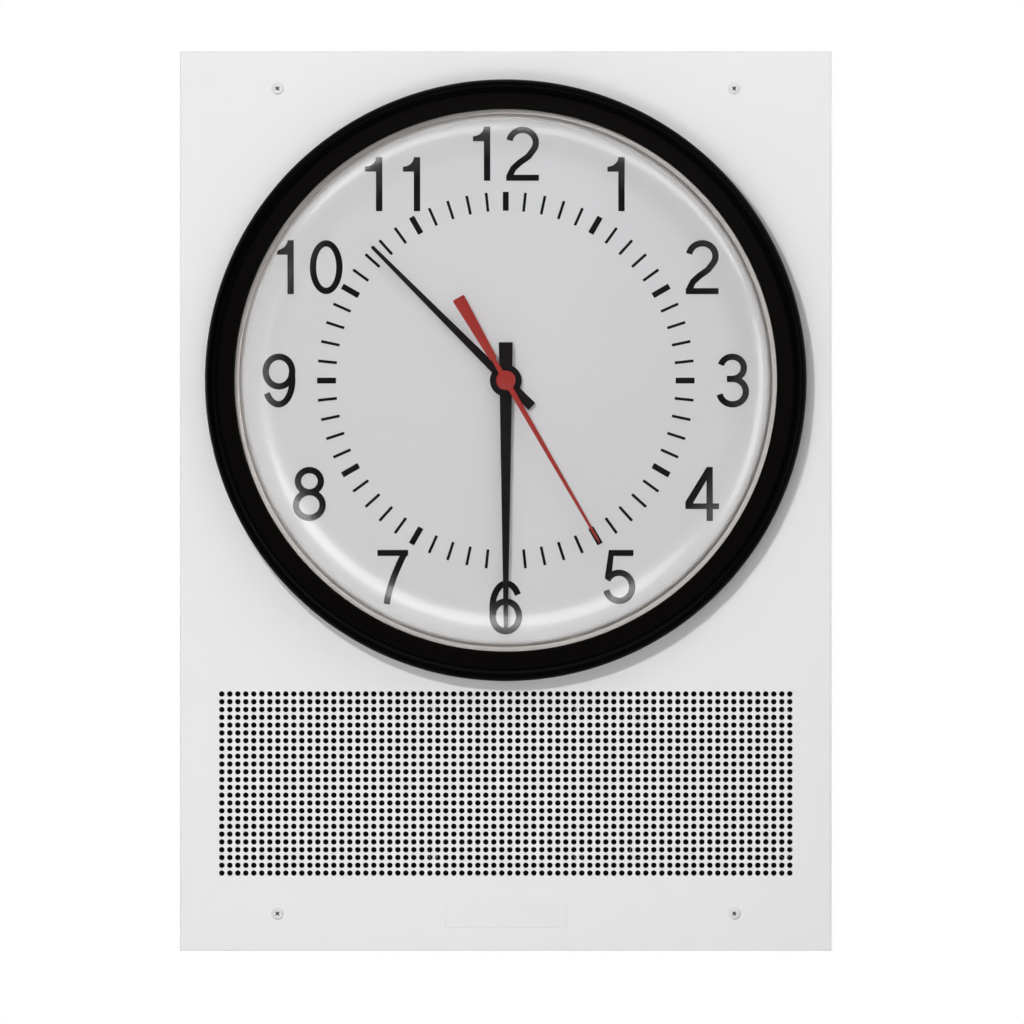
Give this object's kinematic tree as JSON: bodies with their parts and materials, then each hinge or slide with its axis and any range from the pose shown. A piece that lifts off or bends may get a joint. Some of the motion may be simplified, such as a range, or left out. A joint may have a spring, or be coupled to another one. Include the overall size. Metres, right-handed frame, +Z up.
{
  "type": "network wall clock",
  "caption": "Round analog clock head with numbered dial on a tall white wall panel, with a perforated loudspeaker grille below and a network box behind.",
  "frame": {"origin": "centre of the four panel screws, in the wall plane at the panel's back face", "axes": "+Y into the wall, along the panel screws; +Z up, the panel's long side; the dial faces -Y"},
  "size_m": [0.368, 0.0618, 0.508],
  "materials": {
    "panel_paint": "satin powder coat",
    "zinc": "zinc plated",
    "head_black": "gloss",
    "case_black": "satin",
    "clear": "clear, moulded",
    "dial": "matt",
    "print": "printed ink, matt",
    "hand_black": "satin",
    "hand_red": "satin",
    "white_moulding": "satin",
    "brass": "machined",
    "black_rubber": "matt",
    "pale_rubber": "pale grey sealing rubber",
    "core_iron": "punched",
    "copper": "enamelled copper wire",
    "board": "solder mask",
    "dark_parts": "matt",
    "ferrite": "sintered",
    "speaker_steel": "black lacquer",
    "paper": "paper cone",
    "gauze": "fine black wire gauze",
    "woven": "impregnated cloth",
    "button_red": "satin",
    "lamp_green": "clear tinted",
    "terminal_green": "satin"
  },
  "bodies": {
    "housing": {"face_panel": "panel_paint", "panel_screws": "panel_paint", "panel_studs": "speaker_steel", "stud_nuts": "zinc", "dust_screen": "gauze", "clock_case": "case_black", "case_flange": "case_black", "clock_bezel": "head_black", "clock_screws": "zinc", "lens": "clear", "lens_gasket": "pale_rubber", "dial_ring": "white_moulding", "dial_plate": "dial", "dial_numerals": "print", "minute_track": "print", "movement_front": "white_moulding", "movement_rear": "white_moulding", "movement_screws": "zinc", "movement_nut": "brass", "seat_washer": "black_rubber", "stators": "core_iron", "coils": "copper", "movement_board": "board", "movement_parts": "dark_parts", "clock_plug": "white_moulding", "speaker_frame": "speaker_steel", "speaker_gasket": "black_rubber", "speaker_yoke": "zinc", "speaker_magnet": "ferrite", "speaker_top_plate": "zinc", "speaker_surround": "black_rubber", "speaker_spider": "woven", "speaker_terminals": "white_moulding", "network_box": "zinc", "network_cover": "zinc", "cover_screws": "zinc", "network_board": "board", "network_jack": "core_iron", "board_parts": "dark_parts", "terminal_block": "terminal_green", "status_lamps": "lamp_green", "clock_lead": "white_moulding", "speaker_lead": "black_rubber", "grommets": "black_rubber", "lead_clips": "case_black"},
    "hour": {"hour_hand": "hand_black", "hour_wheel": "brass"},
    "minute": {"minute_hand": "hand_black", "minute_arbor": "brass"},
    "second": {"second_hand": "hand_red", "second_arbor": "brass"},
    "motion": {"motion_wheel": "white_moulding"},
    "minute_reduction": {"minute_reducer": "white_moulding"},
    "minute_drive": {"minute_rotor": "ferrite"},
    "second_reduction": {"second_reducer": "white_moulding"},
    "second_drive": {"second_rotor": "ferrite"},
    "cone": {"speaker_cone": "paper", "dust_cap": "paper", "voice_coil": "copper"},
    "button": {"reset_button": "button_red"}
  },
  "joints": [
    {"name": "hour_turn", "type": "hinge", "parent": "housing", "child": "hour", "pos_m": [0, 0, 0.068], "axis": [0, 1, 0], "continuous": true},
    {"name": "minute_turn", "type": "hinge", "parent": "housing", "child": "minute", "pos_m": [0, 0, 0.068], "axis": [0, 1, 0], "continuous": true},
    {"name": "second_turn", "type": "hinge", "parent": "housing", "child": "second", "pos_m": [0, 0, 0.068], "axis": [0, 1, 0], "continuous": true},
    {"name": "motion_turn", "type": "hinge", "parent": "housing", "child": "motion", "pos_m": [0, 0, 0.08], "axis": [0, 1, 0], "continuous": true},
    {"name": "minute_reducer_turn", "type": "hinge", "parent": "housing", "child": "minute_reduction", "pos_m": [-0.01316, 0, 0.06321], "axis": [0, 1, 0], "continuous": true},
    {"name": "minute_rotor_turn", "type": "hinge", "parent": "housing", "child": "minute_drive", "pos_m": [-0.02443, 0, 0.05911], "axis": [0, 1, 0], "continuous": true},
    {"name": "second_reducer_turn", "type": "hinge", "parent": "housing", "child": "second_reduction", "pos_m": [0.01316, 0, 0.06321], "axis": [0, 1, 0], "continuous": true},
    {"name": "second_rotor_turn", "type": "hinge", "parent": "housing", "child": "second_drive", "pos_m": [0.02443, 0, 0.05911], "axis": [0, 1, 0], "continuous": true},
    {"name": "cone_travel", "type": "slide", "parent": "housing", "child": "cone", "axis": [0, -1, 0], "range_m": [-0.0015, 0.0015], "stiffness_N_per_m": 800, "deforming": ["speaker_surround", "speaker_spider"]},
    {"name": "button_press", "type": "slide", "parent": "housing", "child": "button", "axis": [0, 0, 1], "range_m": [0, 0.0006], "stiffness_N_per_m": 300}
  ],
  "couplings": [
    {"joint": "hour_turn", "follows": "minute_turn", "ratio": 0.083333},
    {"joint": "motion_turn", "follows": "minute_turn", "ratio": -0.33333},
    {"joint": "minute_reducer_turn", "follows": "minute_turn", "ratio": -6},
    {"joint": "minute_rotor_turn", "follows": "minute_turn", "ratio": 30},
    {"joint": "second_reducer_turn", "follows": "second_turn", "ratio": -6},
    {"joint": "second_rotor_turn", "follows": "second_turn", "ratio": 30}
  ]
}
